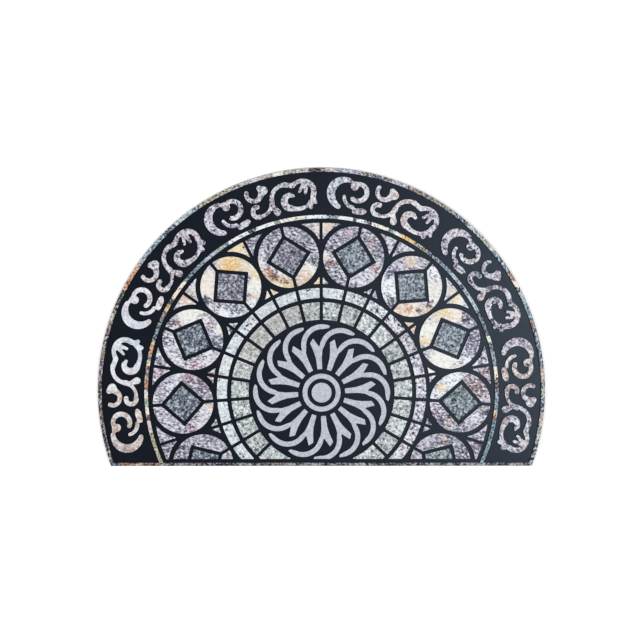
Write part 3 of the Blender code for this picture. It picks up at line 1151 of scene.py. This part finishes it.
def pale_marble_material():
    """Bluish white marble of the outer ring, with dark clusters, greyer at the right."""
    surface = Surface("pale_marble_flock")
    base = set_colour("pale_marble")
    clockwise = surface.clockwise()
    side = surface.fade(clockwise, 4, 40)
    base = surface.mix(side, base, paint(184, 182, 196))
    warm = surface.fade(surface.noise(16 * MM, 2.0, seed=6.0), 0.54, 0.64)
    base = surface.mix(warm * (0.5 - side * 0.15), base, paint(230, 210, 204))
    tone = 0.93 + bay_lot(surface) * 0.14
    some = surface.fade(surface.noise(20 * MM, 1.0, seed=4.0), 0.44, 0.58)
    grain = surface.noise(5.0 * MM, 3.0, seed=9.0, rough=0.68)
    thick = 0.2 + some * (0.8 - side * 0.6) + side * 0.75
    tint = grained(surface, base, grain, paint(240, 246, 248), paint(34, 38, 56), 0.9, thick)
    return flocked(surface, surface.toned(tint, tone))


def marble_material():
    """Marble in drifts of lilac, cream and ochre, its duller parts speckled with ink."""
    surface = Surface("marble_flock")
    tint = set_colour("marble")
    low = surface.fade(surface.y, 60 * MM, -80 * MM)
    drift = surface.fade(surface.noise(34 * MM, 3.0, seed=31.0), 0.46, 0.58)
    tint = surface.mix(drift * (0.62 - low * 0.4), tint, TINTS["white"])
    place = surface.warped(16 * MM, 20 * MM, seed=32.0)
    ragged = (surface.noise(7 * MM, 4.0, seed=37.0, rough=0.65) - 0.5) * (30 * MM)
    for step, patches in PATCHES.items():
        for along, out, reach, patch_tint in patches:
            angle = MIDLINE + step * BAY - math.degrees(along * MM / MEDALLION_RING)
            middle = polar(MEDALLION_RING + out * MM, angle)
            flat = surface.vector("SUBTRACT", place, (*middle, 0.0))
            flat = surface.vector("MULTIPLY", flat, (1.0, 1.0, 0.0))
            away = surface.node(
                "ShaderNodeVectorMath", {"operation": "LENGTH"}, {0: flat}, take="Value"
            )
            cover = surface.fade(away + ragged, reach * 1.4 * MM, reach * 0.6 * MM)
            tint = surface.mix(cover * 0.82, tint, TINTS[patch_tint])
    # Warm pale parts are plain, and the duller a part is the thicker are its grains
    red = surface.share(tint, RED)
    blue = surface.share(tint, BLUE)
    dull = surface.fade(red, 0.74, 0.42)
    ends = surface.fade(surface.maths("ABSOLUTE", surface.clockwise()), 98, 112)
    calm = 1.0 - surface.fade(red - blue, -0.02, 0.08) * surface.fade(red, 0.5, 0.7) * 0.7
    some = surface.fade(surface.noise(26 * MM, 2.0, seed=36.0), 0.42, 0.58)
    where = surface.stretched(6.0 * MM, 4.0 * MM, -14)
    grain = surface.noise(1.0, 4.0, seed=33.0, where=where, rough=0.7)
    light = surface.fade(grain, 0.525, 0.58) * (0.72 + dull * 0.08)
    tint = surface.mix(light, tint, TINTS["white"])
    dark = surface.fade(grain, 0.485, 0.42) * calm * (0.46 + some * 0.3 + dull * 0.24)
    tint = surface.mix(dark, tint, paint(50, 50, 68))
    streak = surface.noise(1.0, 3.0, seed=34.0, where=surface.stretched(36 * MM, 9 * MM, -10))
    ridge = surface.fade(surface.maths("ABSOLUTE", streak - 0.5), 0.024, 0.006)
    veined = surface.fade(surface.noise(45 * MM, 1.0, seed=35.0), 0.48, 0.58)
    tint = surface.mix(ridge * veined * calm * 0.7, tint, TINTS["ink"])
    return flocked(surface, surface.toned(tint, 1.0 - ends * 0.1))


def scroll_material():
    """Marbled print of the scrolls, plain in places and flecked in others."""
    surface = Surface("scroll_flock")
    clockwise = surface.clockwise(16.0, 26 * MM)
    tint = surface.stripes(clockwise, SCROLL_REACH, SCROLL_TINTS, "LINEAR")
    cloud = surface.fade(surface.noise(14 * MM, 3.0, seed=41.0), 0.44, 0.60)
    tint = surface.mix(cloud * 0.5, tint, TINTS["white"])
    rosy = surface.fade(surface.noise(22 * MM, 2.0, seed=42.0), 0.54, 0.62)
    tint = surface.mix(rosy * 0.3, tint, paint(218, 180, 166))
    stops = [(degrees, (share,) * 3) for degrees, share in SCROLL_SPECKLE]
    busy = surface.steps(clockwise, -SCROLL_REACH, SCROLL_REACH, stops, "LINEAR")
    grain = surface.noise(4.4 * MM, 4.0, seed=43.0, rough=0.72)
    tint = surface.mix(surface.fade(grain, 0.53, 0.59) * 0.7, tint, TINTS["white"])
    tint = surface.mix(surface.fade(grain, 0.50, 0.46) * busy * 0.45, tint, TINTS["mauve"])
    tint = surface.mix(surface.fade(grain, 0.465, 0.42) * busy, tint, paint(40, 40, 56))
    return flocked(surface, tint)


def edging_material(name, tints, seed, light, dark):
    """Print of a narrow band: a run of tints along it, crossed by slanting dashes."""
    surface = Surface(name)
    tint = surface.stripes(surface.clockwise(3.5, 6 * MM), EDGING_REACH, tints)
    along = surface.clockwise() * (math.radians(1) * RADIUS)
    across = surface.radius()
    if tints is RIM_TINTS:
        front = surface.fade(surface.y, *(EDGE_Y + height for height in FRONT_FADE))
        waver = (surface.noise(7 * MM, 3.0, seed=seed + 3) - 0.5) * (24 * MM)
        chart = [(at * MM, tint_name) for at, tint_name in FRONT_TINTS]
        straight = surface.toned(surface.stripes(surface.x + waver, RADIUS, chart), (FRONT_TONE,) * 3)
        tint = surface.mix(front, tint, straight)
        along = along + front * (surface.x - along)
        across = across + front * (surface.y - across)
        light = light * (1.0 - front * 0.4)
    lot = surface.noise(6.0 * MM, 1.0, seed=seed + 1)
    stray = surface.steps(
        lot,
        0.3,
        0.7,
        [(0.3, TINTS["plum"]), (0.42, TINTS["slate"]), (0.5, TINTS["brown"]), (0.56, TINTS["sage"])],
    )
    strays = surface.fade(surface.noise(4.5 * MM, 2.0, seed=seed + 2), 0.54, 0.60)
    plain = surface.fade(surface.share(tint, RED), 0.5, 0.72)
    tint = surface.mix(strays * (0.6 - plain * 0.45), tint, stray)
    slanted = surface.node(
        "ShaderNodeCombineXYZ",
        inputs={0: along / (5.5 * MM) + across / (11 * MM), 1: across / (4.5 * MM)},
    )
    dash = surface.noise(1.0, 3.0, seed=seed, where=slanted, rough=0.66)
    dark = dark * (1.0 - plain * 0.2)
    return flocked(surface, grained(surface, tint, dash, TINTS["white"], TINTS["ink"], light, dark))


def floor_material():
    surface = Surface("pale_floor")
    base = set_colour("floor")
    surface.set("Base Color", surface.toned(base, 0.99 + surface.noise(0.4, 2.0) * 0.01))
    surface.set("Roughness", 0.9)
    return surface.material


# --------------------------------------------------------------- operators


class DOORMAT_OT_edging(bpy.types.Operator):
    """Model the rim round the outline and the bead inside the scroll band"""

    bl_idname = "doormat.edging"
    bl_label = "Rim and Bead"

    def execute(self, context):
        sizes = context.scene.doormat_sizes
        rim = self.half_round("rim", RADIUS, EDGE_Y, TOP - FOOT)
        inside = self.half_round("inside", RADIUS - sizes.rim, EDGE_Y + sizes.front_rim, TOP)
        inside.location.z = -MM
        applied(rim, "BOOLEAN", operation="DIFFERENCE", solver="EXACT", object=inside)
        bpy.data.objects.remove(inside, do_unlink=True)
        opened(rim)
        outwards()
        soften(rim)
        finish_piece(rim, edging_material("rim_flock", RIM_TINTS, 51.0, 0.6, 0.95))

        bead = self.profile(BEAD_INNER, BEAD_INNER + sizes.bead)
        inset = EDGE_Y + 0.8 * sizes.front_rim
        dip = math.degrees(math.asin(inset / BEAD_INNER))
        sweep_round(bead, dip, 180 - dip, BEAD_INNER)
        editing_done()
        finish_piece(bead, edging_material("bead_flock", BEAD_TINTS, 52.0, 0.42, 1.0))
        return {"FINISHED"}

    @staticmethod
    def half_round(name, radius, edge_y, height):
        """A solid half-round that stands on the foot of the lands."""
        solid = disc(name, radius, steps=OUTLINE_STEPS)
        keep_side(placed(0, edge_y), (0, 1, 0))
        raise_land(height)
        editing_done()
        return solid

    @staticmethod
    def profile(inner, outer):
        """The bead's cross-section, standing on the +X side of the arc's centre."""
        middle = placed((inner + outer) / 2, 0, (FOOT + TOP) / 2)
        upright = (math.radians(90), 0, 0)
        add = bpy.ops.mesh.primitive_plane_add
        bead = begin("bead", add, size=1.0, location=middle, rotation=upright)
        bpy.ops.transform.resize(value=(outer - inner, 1, TOP - FOOT), center_override=middle)
        pick(bead, "VERT", lambda vertex: vertex.co.z > TOP - HAIR)
        rounding = bpy.context.scene.doormat_sizes.rounding
        bpy.ops.mesh.bevel(offset=rounding, segments=4, affect="VERTICES")
        return bead


def sweep_round(thing, start, end, radius):
    """Spins a standing profile about the arc's centre, from one angle to another."""
    all_selected()
    mesh = bmesh.from_edit_mesh(thing.data)
    bmesh.ops.transform(mesh, matrix=turn(90 + start), verts=mesh.verts)
    bmesh.update_edit_mesh(thing.data)
    bpy.ops.mesh.spin(
        steps=steps_for(radius, end - start),
        angle=-math.radians(end - start),
        center=CENTRE,
        axis=(0, 0, 1),
    )
    outwards()


class DOORMAT_OT_scrolls(bpy.types.Operator):
    """Model the six scrolls of the border"""

    bl_idname = "doormat.scrolls"
    bl_label = "Scrolls"

    def execute(self, context):
        outlines = [scroll_outline(strokes) for strokes in SCROLL.values()]
        pieces = []
        for outline in outlines:
            piece = drawn("scroll", bent(outline, SCROLL_START))
            raise_land()
            soften(piece)
            pieces.append(piece)
        first = joined("scroll_1", pieces)
        material = scroll_material()
        for index in range(1, SCROLLS):
            scroll = copied(first, turn(90 - index * SCROLL_PITCH))
            scroll.name = scroll.data.name = f"scroll_{index + 1}"
            finish_piece(scroll, material)
        finish_piece(first, material)
        return {"FINISHED"}


class DOORMAT_OT_blocks(bpy.types.Operator):
    """Model the two rings of blocks round the rosette"""

    bl_idname = "doormat.blocks"
    bl_label = "Blocks"

    def execute(self, context):
        for ring, material in (
            (INNER_BLOCKS, pale_granite_material()),
            (OUTER_BLOCKS, pale_marble_material()),
        ):
            bay = self.block(ring, BAY)
            steps = range(-ring.bays, ring.bays)
            stones = spread(bay, [MIDLINE + (step + 0.5) * BAY for step in steps])
            reach = ring.bays + 1
            long = self.block(ring, 2 * BAY)
            stones += spread(long, [MIDLINE + side * reach * BAY for side in (-1, 1)])
            finish_piece(joined(ring.name, stones), material)
        return {"FINISHED"}

    @staticmethod
    def block(ring, degrees):
        """A block's outline at the top of the arc, with half a channel at each side."""
        block = drawn(ring.name, sector_outline(ring.inner, ring.outer, degrees / 2))
        gap = bpy.context.scene.doormat_sizes.channel / 2
        for side in (-1, 1):
            x, y = polar(1.0, 90 - side * degrees / 2)
            inward = Vector((-side * y, side * x, 0))
            keep_side(CENTRE + inward * gap, inward)
        return block


class DOORMAT_OT_medallions(bpy.types.Operator):
    """Model the round stones of the medallions and the square stones in them"""

    bl_idname = "doormat.medallions"
    bl_label = "Medallions"

    def execute(self, context):
        sizes = context.scene.doormat_sizes
        angles = [MIDLINE + step * BAY for step in MEDALLION_STEPS]
        halves = []
        for side in (-1, 1):
            halves += spread(self.half(side, sizes), angles)
        finish_piece(joined("medallion_stones", halves), marble_material())
        square = disc("square", sizes.square, y=MEDALLION_RING, steps=4)
        squares = spread(square, angles)
        finish_piece(joined("square_stones", squares), dark_granite_material())
        return {"FINISHED"}

    @staticmethod
    def half(side, sizes):
        """The outline of half a round stone beside the channel, cut out for the window."""
        gap = sizes.channel / 2
        half = disc("medallion", sizes.medallion, y=MEDALLION_RING)
        keep_side(placed(side * gap, 0), (side, 0, 0))
        corner = placed(side * sizes.window, MEDALLION_RING, FOOT)
        for slope in (-1, 1):
            all_selected()
            bpy.ops.mesh.bisect(plane_co=corner, plane_no=(side, slope, 0))

        def in_window(face):
            off = face.calc_center_median() - placed(0, MEDALLION_RING, FOOT)
            return abs(off.x) + abs(off.y) < sizes.window

        pick(half, "FACE", in_window)
        bpy.ops.mesh.delete(type="FACE")
        all_selected()
        bpy.ops.mesh.dissolve_limited(angle_limit=math.radians(0.5))
        return half


class DOORMAT_OT_spandrels(bpy.types.Operator):
    """Model the three-sided stones between the medallions"""

    bl_idname = "doormat.spandrels"
    bl_label = "Spandrels"

    def execute(self, context):
        gap = context.scene.doormat_sizes.channel / 2
        angles = [MIDLINE + step * BAY for step in SPANDREL_STEPS]
        stones = []
        for corner in CORNERS:
            for side in (-1, 1):
                stone = drawn("spandrel", spandrel_outline(corner, side, gap))
                stones += spread(stone, angles, radius=0.9 * MM, rounding=0.5 * MM)
        material = bpy.data.materials["marble_flock"]
        finish_piece(joined("spandrels", stones), material)
        return {"FINISHED"}


class DOORMAT_OT_rosette(bpy.types.Operator):
    """Model the leaves of the rosette and the boss in the middle"""

    bl_idname = "doormat.rosette"
    bl_label = "Rosette"

    def execute(self, context):
        sizes = context.scene.doormat_sizes
        material = rosette_material()
        leaf = drawn("leaf", leaf_outline())
        pitch = 360 / LEAVES
        leaves = spread(leaf, [LEAF_ANGLE + index * pitch for index in range(LEAVES)])
        finish_piece(joined("rosette_leaves", leaves), material)

        inner, outer = BOSS_RING
        ring = disc("boss_ring", outer)
        bpy.ops.mesh.inset(thickness=outer - inner)
        pick(ring, "FACE", lambda face: len(face.verts) > 4)
        bpy.ops.mesh.delete(type="FACE")
        raise_land()
        soften(ring)
        boss = disc("boss", sizes.boss)
        raise_land()
        soften(boss)
        finish_piece(joined("rosette_boss", [boss, ring]), material)
        return {"FINISHED"}


class DOORMAT_OT_base(bpy.types.Operator):
    """Model the rubber slab that carries the lands"""

    bl_idname = "doormat.base"
    bl_label = "Base"

    def execute(self, context):
        lands = [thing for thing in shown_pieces() if "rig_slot" in thing]
        base = disc("mat_base", RADIUS - HAIR, steps=OUTLINE_STEPS)
        keep_side(placed(0, EDGE_Y + HAIR), (0, 1, 0))
        all_selected()
        bpy.ops.transform.translate(value=(0, 0, -FOOT))
        raise_land(SLAB)
        pick(base, "EDGE", lambda edge: abs(edge.verts[0].co.z - edge.verts[1].co.z) < HAIR)
        bpy.ops.mesh.bevel(offset=SLAB_ROUNDING, segments=2, affect="EDGES")
        editing_done()
        finish_piece(base, rubber_material(), "rubber")
        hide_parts("mat")
        return {"FINISHED"}

    @staticmethod
    def area():
        """Area of a circle's part above the straight edge."""
        half = math.acos(-EDGE_Y / RADIUS)
        return RADIUS**2 * (math.pi - half) - EDGE_Y * RADIUS * math.sin(half)


class DOORMAT_OT_stage(bpy.types.Operator):
    """Lay the floor, set the lights and place the camera"""

    bl_idname = "doormat.stage"
    bl_label = "Floor, Lights and Camera"

    def execute(self, context):
        scene = context.scene
        floor = begin("floor", bpy.ops.mesh.primitive_plane_add, size=12.0)
        editing_done()
        floor.data.materials.append(floor_material())
        floor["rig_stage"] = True

        world = bpy.data.worlds.new("studio")
        world.use_nodes = True
        sky = world.node_tree.nodes["Background"]
        sky.inputs["Color"].default_value = (1.0, 1.0, 1.0, 1.0)
        sky.inputs["Strength"].default_value = 0.25
        scene.world = world
        scene.view_settings.view_transform = "Standard"

        self.lamp("key", place=(1.3, -0.02, 1.9), size=1.3, power=39.5)
        fill = self.lamp("fill", place=(-2.2, -0.7, 2.2), size=1.6, power=78.0)
        fill.visible_glossy = False

        nothing_selected()
        bpy.ops.object.camera_add(
            location=CAMERA_PLACE,
            rotation=[math.radians(degrees) for degrees in CAMERA_TURN],
        )
        camera = context.object
        camera.name = "camera"
        camera.data.lens = CAMERA_LENS
        scene.camera = camera
        return {"FINISHED"}

    @staticmethod
    def lamp(name, place, size, power):
        """A square soft light that faces the mat."""
        nothing_selected()
        bpy.ops.object.light_add(type="AREA", location=place)
        lamp = bpy.context.object
        lamp.name = name
        lamp.rotation_euler = (-Vector(place)).to_track_quat("-Z", "Y").to_euler()
        lamp.data.size = size
        lamp.data.energy = power
        return lamp


class VIEW3D_PT_doormat(bpy.types.Panel):
    """Sizes, colours and steps of the doormat"""

    bl_label = "Doormat"
    bl_space_type = "VIEW_3D"
    bl_region_type = "UI"
    bl_category = "Doormat"

    def draw(self, context):
        for title, group in (
            ("Sizes", context.scene.doormat_sizes),
            ("Colours", context.scene.doormat_colours),
        ):
            column = self.layout.box().column()
            column.label(text=title)
            for name in group.bl_rna.properties.keys():
                if name not in ("rna_type", "name"):
                    column.prop(group, name)
        column = self.layout.column(align=True)
        for step in STEPS:
            column.operator(step.bl_idname)


STEPS = (
    DOORMAT_OT_edging,
    DOORMAT_OT_scrolls,
    DOORMAT_OT_blocks,
    DOORMAT_OT_medallions,
    DOORMAT_OT_spandrels,
    DOORMAT_OT_rosette,
    DOORMAT_OT_base,
    DOORMAT_OT_stage,
)
CLASSES = (DoormatSizes, DoormatColours, *STEPS, VIEW3D_PT_doormat)


def register():
    for made in CLASSES:
        bpy.utils.register_class(made)
    bpy.types.Scene.doormat_sizes = bpy.props.PointerProperty(type=DoormatSizes)
    bpy.types.Scene.doormat_colours = bpy.props.PointerProperty(type=DoormatColours)


def unregister():
    del bpy.types.Scene.doormat_colours
    del bpy.types.Scene.doormat_sizes
    for made in reversed(CLASSES):
        bpy.utils.unregister_class(made)


def main():
    register()
    for step in STEPS:
        group, name = step.bl_idname.split(".")
        getattr(getattr(bpy.ops, group), name)()


if __name__ == "__main__":
    main()
